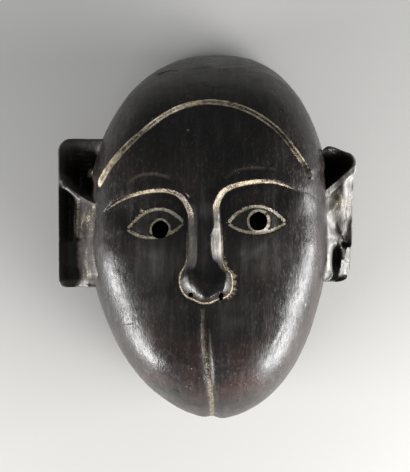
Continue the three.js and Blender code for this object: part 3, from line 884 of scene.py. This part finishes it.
def left_ear_cuts(inward, y, above):
    """How deep the left ear's front is cut: above is the height over the ridge."""
    scoop = LEFT_SCOOP_DEPTH * ramp(inward, 0.5, 12) * ramp(above, 0.5, 7)
    scoop *= 1 - 0.9 * ramp(y, 35, 57)
    scoop *= 1 - 0.5 * ramp(inward, 19, 26)
    under = ramp(-above, 0.8, 6)
    pocket = LEFT_POCKET_DEPTH * bowl(inward, 12.5) ** 1.3 * under * ramp(y, -18, 0)
    buttress = LEFT_BUTTRESS_DEPTH * hump(inward, (2, 9), (11, 19)) * under
    low_depth = 5 + 2 * ramp(-y, 21, 28) + 0.12 * (y + 20)
    low = low_depth * bowl(inward, 16) ** 0.8 * within(y, -31.5, -8, 3.5)
    knob = LEFT_KNOB_HEIGHT * gauss(away(inward, y, LEFT_KNOB), 1.5)
    lump = LEFT_LUMP_HEIGHT * gauss(away(inward, y, LEFT_LUMP, 1.2), 4.2)
    gouged = 0.25 * np.sin(y * 2.2 + 0.8 * np.sin(inward * 0.5)) * ramp(scoop, 3, 10)
    hook = LEFT_HOOK_DEPTH * gauss(away(inward, y, LEFT_HOOK) - LEFT_HOOK_RADIUS, 0.9) * (y < 0)
    return np.maximum.reduce([scoop, pocket, buttress, low]) - knob - lump + gouged + hook * under


def right_ear_cuts(inward, y, above):
    """How deep the right ear's front is cut: above is the height over the ridge."""
    uneven = flat_noise(inward, y, size=5, seed=61)
    scoop = RIGHT_SCOOP_DEPTH * ramp(inward, 0.2, 10) * ramp(above, 3.6, 15)
    scoop *= 1 - ramp(y, 36, 53)
    ridge_face = 0.7 * ramp(above, 0, 5.4)
    under = ramp(-above, 0, 2)
    falling = 2.4 * ramp(-y, -16, 8) * ramp(inward, 0, 6) * under
    from_bulge = away(inward, y, *RIGHT_BULGE) + 0.12 * uneven
    bulge = RIGHT_BULGE_HEIGHT * (1 - ramp(from_bulge, 0.3, 1.15))
    past_crease = inward - 2.4 - (y + 14.5) * 0.62
    crease = RIGHT_CREASE_DEPTH * hump(past_crease, (-0.6, 1.2), (3, 10)) * within(y, -15, 3, 3)
    notch = RIGHT_NOTCH_DEPTH * gauss((y + 11 - 0.2 * inward) * 0.9, 1.4) * within(inward, 2, 9, 1.5)
    pocket = RIGHT_POCKET_DEPTH * hump(inward, (5.5, 13), (12.5, 22)) * within(y, -26, -10, 7)
    low_depth = 6 - 0.6 * inward + 2.4 * within(y, -31, -22 + 0.3 * inward, 0.7)
    low_facet = low_depth * within(y, -31, -12, 1.5)
    outer_facet = RIGHT_FACET_DEPTH * (1 - ramp(inward, 0, 11)) * hump(y, (-30, 12), (31, 41))
    cuts = np.maximum.reduce([scoop, ridge_face, falling + crease * under, pocket, low_facet * under])
    return cuts + 0.5 * uneven + (notch - bulge + outer_facet) * under


def left_ear_colours(inward, y, above):
    """Where the left ear's front holds residue, and where it is paler: worn, and painted highlights on its
    lit planes.
    """
    stripes = flat_noise(inward, y, size=(0.9, 7), seed=43)
    wall = ramp(inward, 13, 17) * (1 - ramp(above, 0, 5)) * (y > -33)
    tongue = within(inward, 8, 14, 1.5) * within(y, -6, 19, 2)
    residue = np.maximum.reduce([
        (0.1 + 0.4 * stripes) * wall,
        (0.35 + 0.4 * stripes) * tongue,
        0.85 * gauss(away(inward, y, (21, 36.5), 1.2), 3.8) + 0.15 * stripes,
        0.8 - away(inward, y, LEFT_KNOB) / 1.6,
        0.35 - np.abs(y + 36.4) / 2,
    ])
    # The band above the ridge, the low plane and the bottom ledge are painted highlights on lit planes; the
    # rest is wear.
    wear = np.maximum.reduce([
        0.5 * within(above, -1, 7, 2),
        0.06 * wall,
        0.25 * tongue,
        0.12 * (1 - ramp(inward, 1, 5)),
        0.1 * within(y, -25, -7, 2) * (inward < 16),
        0.5 * (1 - ramp(y, -34, -32)),
        0.16 * ramp(y, 38, 52),
    ])
    return residue, wear


def right_ear_colours(inward, y, above):
    """Where the right ear's front holds residue, and where it is paler: worn, and painted highlights on its
    lit faces.
    """
    patchy = flat_noise(inward, y, size=2.6, seed=47)
    bulge = 1 - ramp(away(inward, y, *RIGHT_BULGE) + 0.2 * patchy, 0.6, 1.2)
    by_edge = 0.35 * within(inward, 1.2, 5, 0.8) * within(y, 11, 24, 2)
    # The ridge's bevel, the white patch by the outer edge, the streak near the inner end and the low facets
    # are painted highlights on lit faces; the bulge and the lower middle are worn.
    wear = np.maximum.reduce([
        within(above, 0, 5, 0.5),
        (0.55 + 0.35 * patchy) * bulge,
        0.75 * within(inward, 0.4, 8, 1.5) * within(y, 8, 38, 4),
        (0.45 + 0.4 * patchy) * within(y, -9, 12, 3),
        0.7 * within(inward, 16.5, 20.5, 1) * within(y, -28, -7, 2),
        (0.6 + 0.2 * patchy) * within(inward, 0.5, 8.5, 1) * within(y, -31, -13, 1),
    ])
    return np.maximum((0.4 + 0.35 * patchy) * bulge, by_edge), wear * (above < 5.2)


# The ridge slants up and out from ridge_y, where it is EAR_PEAK_AT in from the outer edge, and the front
# climbs the head's wall at its inner end.
EARS = [
    {"name": "left_ear", "cuts": left_ear_cuts, "colours": left_ear_colours, "side": -1,
     "top_x": 97.2, "bottom_x": 96.4, "top_y": 58.2, "peak": 0, "bottom_y": -37.5,
     "top_corner": 9, "bottom_corner": 3.5, "ridge_y": 21.5, "ridge_rise": 0.72, "climb": 19},
    {"name": "right_ear", "cuts": right_ear_cuts, "colours": right_ear_colours, "side": 1,
     "top_x": 96.2, "bottom_x": 91.8, "top_y": 49.2, "peak": 4.2, "bottom_y": -34,
     "top_corner": 9, "bottom_corner": 9, "ridge_y": 26.4, "ridge_rise": 0.78, "climb": 6},
]


def ear_edges(ear, inward, y):
    """How far a place on the front is from the outer, the upper and the lower edge."""
    return [inward, ear_top(ear, inward) - y, y - ear["bottom_y"]]


def ear_front(ear, inward, y):
    worn = sum(corner_inset(EAR_EDGE, edge) for edge in ear_edges(ear, inward, y))
    climb = ear["climb"] * ramp(inward, 13, 27) * hump(y, (-36, -28), (24, 42))
    z = EAR_FRONT_Z - ear["cuts"](inward, y, y - ridge_line(ear, inward)) - worn + climb
    flats = EAR_FLATS * facets(np.stack([inward, y], 1), size=7.0, seed=41)
    return np.maximum(z + flats, EAR_BACK_Z + EAR_LEAST_DEPTH)


def graded(steps):
    """Shares from 0 to 1 that lie closer together at both ends."""
    even = np.linspace(0, 1, steps + 1)
    return even - np.sin(2 * math.pi * even) / (2 * math.pi) * 0.6


def ear_height(ear, inward, along):
    ridge = ridge_line(ear, inward)
    low = lerp(ear["bottom_y"], ridge, along / RIDGE_AT)
    high = lerp(ridge, ear_top(ear, inward), (along - RIDGE_AT) / (1 - RIDGE_AT))
    return np.where(along < RIDGE_AT, low, high)


def ear_point(ear, across, along, depth):
    """A point of an ear: across and along its front, and depth from 0 at the front to 1 at the back."""
    inward = (1 - across) * EAR_WIDTH
    y = ear_height(ear, inward, along)
    z = lerp(ear_front(ear, inward, y), EAR_BACK_Z, depth)
    outer_y = ear_height(ear, 0, along)
    inset = corner_inset(ear["top_corner"], ear_top(ear, 0) - outer_y)
    inset += corner_inset(ear["bottom_corner"], outer_y - ear["bottom_y"])
    outer = lerp(ear["bottom_x"], ear["top_x"], along) - inset
    x = ear["side"] * lerp(side_reach(ear["side"], y, z) - EAR_ROOT, outer, across)
    return np.stack([x, y, z], -1), inward


def ear_paint(ear, points, inward, depth):
    y = points[:, 1]
    above = y - ridge_line(ear, inward)
    front = depth == 0
    residue, wear = ear["colours"](inward, y, above)
    edge = np.minimum.reduce(ear_edges(ear, inward, y))
    edge_wear = 0.5 * gauss(edge, 1.2) * (1 - ramp(depth, 0, 0.1))
    return painted(
        line_off=NO_LINE,
        line_tan=0,
        residue=np.where(front, residue, NO_RESIDUE),
        wear=np.maximum(edge_wear, wear * front),
        # Painted shade in the ears' deepest cuts.
        shade=0.5 * ramp(ear["cuts"](inward, y, above), 10, 22) * front,
        warm=EAR_WARM,
        rough_cut=np.where(front, 0.3, np.where(depth > 0.9, 0.8, 0)),
    )


def carved_ear(ear):
    """An ear as a closed mesh: the grid of its front, rings down its sides and a flat back."""
    across, along = np.meshgrid(graded(EAR_COLUMNS), graded(EAR_ROWS), indexing="ij")
    grid = np.arange(across.size).reshape(across.shape)
    loop = np.concatenate([grid[:-1, 0], grid[-1, :-1], grid[:0:-1, -1], grid[0, :0:-1]])
    across, along = across.ravel(), along.ravel()
    rings = np.linspace(0, 1, EAR_RINGS + 1)[1:]
    all_across = np.concatenate([across, np.tile(across[loop], len(rings))])
    all_along = np.concatenate([along, np.tile(along[loop], len(rings))])
    depth = np.concatenate([np.zeros(len(across)), np.repeat(rings, len(loop))])
    points, inward = ear_point(ear, all_across, all_along, depth)
    paint = ear_paint(ear, points, inward, depth)
    front = np.stack([grid[:-1, :-1], grid[1:, :-1], grid[1:, 1:], grid[:-1, 1:]], -1).reshape(-1, 4)
    hoops = [loop] + [len(across) + k * len(loop) + np.arange(len(loop)) for k in range(len(rings))]
    sides = [
        np.stack([upper, lower, np.roll(lower, -1), np.roll(upper, -1)], 1)
        for upper, lower in zip(hoops[:-1], hoops[1:])
    ]
    faces = np.concatenate([front, *sides]).tolist() + [hoops[-1][::-1].tolist()]
    if ear["side"] < 0:
        faces = [face[::-1] for face in faces]
    on_side = (depth > 0) & (depth < 1) & (all_across > 0.2)
    points[:, 0] -= ear["side"] * np.abs(EAR_SIDE_FLATS * facets(points, size=6.0, seed=23) * on_side)
    return points, faces, paint


def add_object(name, data):
    made = bpy.data.objects.new(name, data)
    bpy.context.scene.collection.objects.link(made)
    return made


def new_object(name, points, faces):
    """An object from points in the carver's frame."""
    mesh = bpy.data.meshes.new(name)
    mesh.from_pydata(((points + CARVER_ORIGIN) * MM).tolist(), [], [list(face) for face in faces])
    mesh.update()
    return add_object(name, mesh)


def drill(name, centre, half, lean, from_z, sides):
    """A cutter along Z, a little uneven round its edge, whose lower end lies further up the face by lean."""
    angle = np.arange(sides) * 2 * math.pi / sides
    uneven = 1 + 0.03 * np.sin(2 * angle + 0.7) + 0.02 * np.sin(5 * angle)
    x, y = half[0] * np.cos(angle) * uneven, half[1] * np.sin(angle) * uneven
    top = np.stack([centre[0] + x, centre[1] + y, np.full(sides, ABOVE_FACE_Z)], 1)
    bottom = np.stack([centre[0] + x, centre[1] + y + lean, np.full(sides, from_z)], 1)
    i = np.arange(sides)
    walls = np.stack([i, i + sides, (i + 1) % sides + sides, (i + 1) % sides], 1).tolist()
    faces = walls + [i.tolist(), (i[::-1] + sides).tolist()]
    return new_object(name, np.concatenate([top, bottom]), faces)


def join_and_cut(base, others, operation):
    for other in others:
        modifier = base.modifiers.new(other.name, "BOOLEAN")
        modifier.operation = operation
        modifier.object = other
        modifier.solver = "MANIFOLD"


def applied(base, tools):
    """The base's mesh with its modifiers applied, and the tools removed."""
    graph = bpy.context.evaluated_depsgraph_get()
    mesh = bpy.data.meshes.new_from_object(base.evaluated_get(graph))
    base.modifiers.clear()
    base.data = mesh
    for tool in tools:
        bpy.data.objects.remove(tool)


def spread_paint(made, points, paint):
    """Gives each vertex of the made mesh the paint of the nearest point."""
    tree = KDTree(len(points))
    placed = (points + CARVER_ORIGIN) * MM
    for i, point in enumerate(placed.tolist()):
        tree.insert(point, i)
    tree.balance()
    nearest = [tree.find(vertex.co)[1] for vertex in made.data.vertices]
    for k, name in enumerate(PAINT):
        made.data.attributes.new(name, "FLOAT", "POINT").data.foreach_set("value", paint[nearest, k])


SHARP_ANGLE = math.radians(38)


def drilled_holes():
    holes = []
    for k, eye in enumerate(EYES):
        name = f"eye_hole_{k}"
        holes.append(drill(name, eye["hole"], eye["hole_half"], 0, HOLLOW_Z, EYE_HOLE_SIDES))
    for k, nostril in enumerate(NOSTRILS):
        place, half, lean = nostril["place"], nostril["half"], nostril["lean"]
        holes.append(drill(f"nostril_{k}", place, half, lean, NOSTRIL_FLOOR_Z, NOSTRIL_SIDES))
    return holes


def carved_mask():
    shell_points, shell_faces, shell_colours = carved_shell()
    mask = new_object("carved_mask", shell_points, shell_faces)
    points, paint, ears = [shell_points], [shell_colours], []
    for ear in EARS:
        ear_points, faces, ear_colours = carved_ear(ear)
        ears.append(new_object(ear["name"], ear_points, faces))
        points.append(ear_points)
        paint.append(ear_colours)
    holes = drilled_holes()
    join_and_cut(mask, ears, "UNION")
    join_and_cut(mask, holes, "DIFFERENCE")
    applied(mask, ears + holes)
    spread_paint(mask, np.concatenate(points), np.concatenate(paint))
    mask.data.shade_smooth()
    mask.data.set_sharp_from_angle(angle=SHARP_ANGLE)
    return mask


class Nodes:
    """A short way to build a material's nodes."""

    def __init__(self, name):
        self.material = bpy.data.materials.new(name)
        self.material.use_nodes = True
        self.tree = self.material.node_tree
        self.tree.nodes.clear()

    def put(self, socket, value):
        if isinstance(value, bpy.types.NodeSocket):
            self.tree.links.new(value, socket)
        else:
            socket.default_value = value

    def add(self, kind, inputs, **settings):
        node = self.tree.nodes.new("ShaderNode" + kind)
        for key, value in settings.items():
            setattr(node, key, value)
        for key, value in inputs.items():
            self.put(node.inputs[key], value)
        return node

    def finished(self, inputs):
        """The material, once its shader has these inputs."""
        shader = self.add("BsdfPrincipled", inputs)
        self.add("OutputMaterial", {"Surface": shader.outputs[0]})
        return self.material

    def paint(self, name):
        return self.add("Attribute", {}, attribute_name=name).outputs["Fac"]

    def math(self, operation, a, b):
        return self.add("Math", {0: a, 1: b}, operation=operation).outputs[0]

    def times(self, a, b):
        return self.math("MULTIPLY", a, b)

    def plus(self, first, *others):
        total = first
        for value in others:
            total = self.math("ADD", total, value)
        return total

    def ramp(self, value, low, high, to_low=0.0, to_high=1.0):
        inputs = {"Value": value, "From Min": low, "From Max": high, "To Min": to_low, "To Max": to_high}
        node = self.add("MapRange", inputs, interpolation_type="SMOOTHSTEP")
        return node.outputs["Result"]

    def mix(self, share, a, b):
        node = self.add("Mix", {}, data_type="RGBA")
        for k, value in ((0, share), (6, a), (7, b)):
            self.put(node.inputs[k], value)
        return node.outputs[2]

    def noise(self, where, scale, detail=3.0, stretch=(1, 1, 1)):
        place = self.add("Mapping", {"Vector": where, "Scale": stretch})
        inputs = {"Vector": place.outputs[0], "Scale": scale, "Detail": detail, "Roughness": 0.55}
        return self.add("TexNoise", inputs).outputs["Fac"]


DARK_WOOD = (0.0072, 0.0066, 0.0066, 1)
BROWN_WOOD = (0.019, 0.0142, 0.0128, 1)
WARM_WOOD = (0.04, 0.019, 0.0155, 1)
# The paler tones of worn patina and of painted highlights.
WORN_AND_HIGHLIT_WOOD = (0.25, 0.235, 0.215, 1)
PALE_WORN_AND_HIGHLIT_WOOD = (0.52, 0.5, 0.47, 1)
DULL_RESIDUE = (0.11, 0.088, 0.066, 1)
RESIDUE = (0.5, 0.41, 0.28, 1)
BRIGHT_RESIDUE = (0.85, 0.77, 0.62, 1)
# The near black of painted shade.
PAINTED_SHADE_COLOUR = (0.003, 0.003, 0.003, 1)
BARE_CUT = (0.028, 0.019, 0.014, 1)
GRAIN_STRETCH = (1, 0.07, 0.25)
PORE_STRETCH = (1, 0.2, 0.4)
FLECK_STRETCH = (1, 0.4, 0.7)
WOOD_IOR = 1.47
PATINA_ROUGHNESS = (0.25, 0.36)
BUMP_STRENGTH = 0.6
BUMP_DISTANCE = 0.0003


def wood_tone(nodes, where, grain):
    """Dark wood in streaks and clouds, redder on the muzzle, and paler where it is bare or worn and where
    highlights are painted.
    """
    cloud = nodes.noise(where, scale=26, detail=4)
    streaks = nodes.plus(nodes.times(grain, 0.5), nodes.times(cloud, 0.7))
    wood = nodes.mix(nodes.ramp(streaks, 0.42, 0.8), DARK_WOOD, BROWN_WOOD)
    warm = nodes.times(nodes.paint("warm"), nodes.ramp(nodes.noise(where, scale=38), 0.4, 0.7))
    wood = nodes.mix(nodes.times(warm, 0.7), wood, WARM_WOOD)
    wood = nodes.mix(nodes.times(nodes.paint("rough_cut"), 0.6), wood, BARE_CUT)
    wood = nodes.mix(nodes.ramp(grain, 0.5, 0.75, 0.0, 0.07), wood, WORN_AND_HIGHLIT_WOOD)
    # Paler for worn patina and for painted highlights, both from the wear paint.
    worn_and_highlit = nodes.times(nodes.paint("wear"), nodes.ramp(grain, 0.3, 0.65, 0.45, 1.0))
    wood = nodes.mix(worn_and_highlit, wood, WORN_AND_HIGHLIT_WOOD)
    return nodes.mix(nodes.ramp(worn_and_highlit, 0.6, 1.0, 0.0, 0.7), wood, PALE_WORN_AND_HIGHLIT_WOOD)


def residue_share(nodes, where):
    """How much pale residue there is: sharp lines with ragged edges, and loose patches."""
    speckle = nodes.noise(where, scale=1100)
    away_from_line = nodes.math("ABSOLUTE", nodes.paint("line_off"), 0.0)
    ragged = nodes.plus(away_from_line, nodes.ramp(speckle, 0.3, 0.7, -0.35, 0.35))
    line = nodes.times(nodes.ramp(ragged, 1.25, 0.5), nodes.paint("line_tan"))
    loose = nodes.plus(nodes.paint("residue"), nodes.ramp(speckle, 0.2, 0.8, -0.3, 0.35))
    return nodes.math("MAXIMUM", line, nodes.times(nodes.ramp(loose, 0.15, 0.8), 0.8))


def dark_wood():
    """Nearly black wood under a hand-polished patina, with pores along the grain, pale residue, painted
    highlights and painted shade.
    """
    nodes = Nodes("dark_wood")
    where = nodes.add("TexCoord", {}).outputs["Object"]
    pores = nodes.noise(where, scale=1400, detail=2, stretch=PORE_STRETCH)
    grain = nodes.noise(where, scale=330, stretch=GRAIN_STRETCH)
    fleck = nodes.noise(where, scale=800, stretch=FLECK_STRETCH)

    pale = residue_share(nodes, where)
    wood = wood_tone(nodes, where, grain)
    wood = nodes.mix(nodes.ramp(fleck, 0.52, 0.75, 0.0, 0.3), wood, DULL_RESIDUE)
    wood = nodes.mix(nodes.ramp(pale, 0.0, 0.5), wood, DULL_RESIDUE)
    bright = nodes.times(pale, nodes.ramp(nodes.noise(where, scale=380), 0.35, 0.62, 0.65, 1.1))
    wood = nodes.mix(nodes.ramp(bright, 0.25, 0.8), wood, RESIDUE)
    wood = nodes.mix(nodes.ramp(bright, 0.75, 1.35), wood, BRIGHT_RESIDUE)
    # Painted shade, from the shade paint.
    wood = nodes.mix(nodes.paint("shade"), wood, PAINTED_SHADE_COLOUR)

    rough = nodes.plus(
        nodes.ramp(nodes.noise(where, scale=60, detail=4), 0.3, 0.7, *PATINA_ROUGHNESS),
        nodes.ramp(fleck, 0.45, 0.75, 0.0, 0.16),
        nodes.times(nodes.paint("rough_cut"), 0.25),
        nodes.times(pale, 0.35),
    )
    height = nodes.plus(nodes.times(pores, 0.5), nodes.times(grain, 0.3), nodes.times(fleck, 0.7))
    bump = nodes.add("Bump", {"Height": height, "Strength": BUMP_STRENGTH, "Distance": BUMP_DISTANCE})
    normal = bump.outputs[0]
    return nodes.finished({"Base Color": wood, "Roughness": rough, "IOR": WOOD_IOR, "Normal": normal})


# The studio, in the frame and in metres. Each light has a place, a width and height, and a power.
FLOOR_COLOUR = (0.67, 0.655, 0.635, 1)
FLOOR_ROUGHNESS = 0.6
FLOOR_HALF_SIZE = 3.0
LIGHTS = {
    "left_light": ((-0.83, -0.48, 0.16), (0.8, 0.3), 20),
    "right_light": ((0.86, -0.43, 0.175), (1.2, 0.32), 31),
    "front_light": ((0.8, -0.6, 0.48), (0.4, 0.4), 4),
}
LIT_POINT = (0, 0, 0.05)
WORLD_COLOUR = (0.92, 0.98, 1, 1)
WORLD_STRENGTH = 0.18


def pale_floor():
    half = FLOOR_HALF_SIZE
    corners = [(-half, -half, 0), (half, -half, 0), (half, half, 0), (-half, half, 0)]
    mesh = bpy.data.meshes.new("floor")
    mesh.from_pydata(corners, [], [(0, 1, 2, 3)])
    inputs = {"Base Color": FLOOR_COLOUR, "Roughness": FLOOR_ROUGHNESS}
    mesh.materials.append(Nodes("pale_floor").finished(inputs))
    floor = add_object("floor", mesh)


def soft_light(name, place, size, power):
    """An area light that faces the middle of the mask."""
    light = bpy.data.lights.new(name, "AREA")
    light.shape = "RECTANGLE"
    light.size, light.size_y = size
    light.energy = power
    lamp = add_object(name, light)
    lamp.location = place
    aim = np.array(LIT_POINT) - place
    tilt = math.acos(-aim[2] / np.linalg.norm(aim))
    lamp.rotation_euler = (tilt, 0, math.atan2(aim[1], aim[0]) - math.pi / 2)


# The camera that the photo was taken with, as it is worked out from the mask's outline.
FOCAL_PX = 857
IMAGE_HEIGHT_PX = 472
SENSOR = 36
CAMERA_PLACE = (-1.39, -3.745, 600)  # in the frame, in millimetres


def photo_camera():
    data = bpy.data.cameras.new("camera")
    data.sensor_fit = "VERTICAL"
    data.sensor_height = SENSOR
    data.lens = FOCAL_PX * SENSOR / IMAGE_HEIGHT_PX
    camera = add_object("camera", data)
    camera.location = [value * MM for value in CAMERA_PLACE]
    bpy.context.scene.camera = camera


def studio():
    pale_floor()
    for name, values in LIGHTS.items():
        soft_light(name, *values)
    world = bpy.data.worlds.new("world")
    world.use_nodes = True
    background = world.node_tree.nodes["Background"]
    background.inputs["Color"].default_value = WORLD_COLOUR
    background.inputs["Strength"].default_value = WORLD_STRENGTH
    bpy.context.scene.world = world
    bpy.context.scene.view_settings.view_transform = "Standard"


mask = carved_mask()
mask.data.materials.clear()
mask.data.materials.append(dark_wood())
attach(mask, "root")
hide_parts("mask")
studio()
photo_camera()
